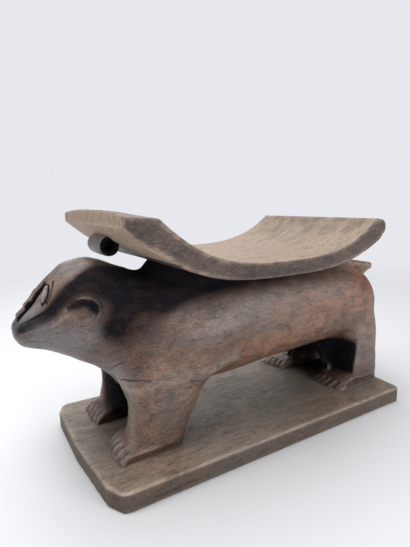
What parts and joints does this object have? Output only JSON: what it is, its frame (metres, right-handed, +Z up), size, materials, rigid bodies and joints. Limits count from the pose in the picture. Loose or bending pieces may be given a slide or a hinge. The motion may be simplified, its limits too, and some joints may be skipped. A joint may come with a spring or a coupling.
{
  "type": "carved wooden stool",
  "caption": "Low stool carved as a standing four-legged animal on a rectangular plinth, carrying a trough-shaped seat on its back, with a bored carrying lug under the seat's front end.",
  "frame": {"origin": "on the plinth's underside, in the animal's middle plane, half way along the plinth", "axes": "+Z up, -X towards the animal's nose, -Y towards the animal's left side"},
  "size_m": [0.5585, 0.232, 0.298],
  "materials": {
    "carved_wood": "dark, rubbed and slightly glossy from handling",
    "plinth_wood": "dull, grey-brown, scuffed",
    "worn_seat_wood": "pale and dull where sat on, darker at the edges"
  },
  "bodies": {
    "root": {"base": "plinth_wood", "fore_paw_left": "carved_wood", "fore_paw_right": "carved_wood", "hind_paw_left": "carved_wood", "hind_paw_right": "carved_wood", "fore_leg_left": "carved_wood", "fore_leg_right": "carved_wood", "hind_leg_left": "carved_wood", "hind_leg_right": "carved_wood", "trunk": "carved_wood", "tail": "carved_wood", "head": "carved_wood", "nose_ridge": "carved_wood", "ear_left": "carved_wood", "ear_right": "carved_wood", "eye_left": "carved_wood", "eye_right": "carved_wood", "seat_support": "carved_wood", "seat": "worn_seat_wood", "carrying_lug": "carved_wood"}
  },
  "joints": []
}
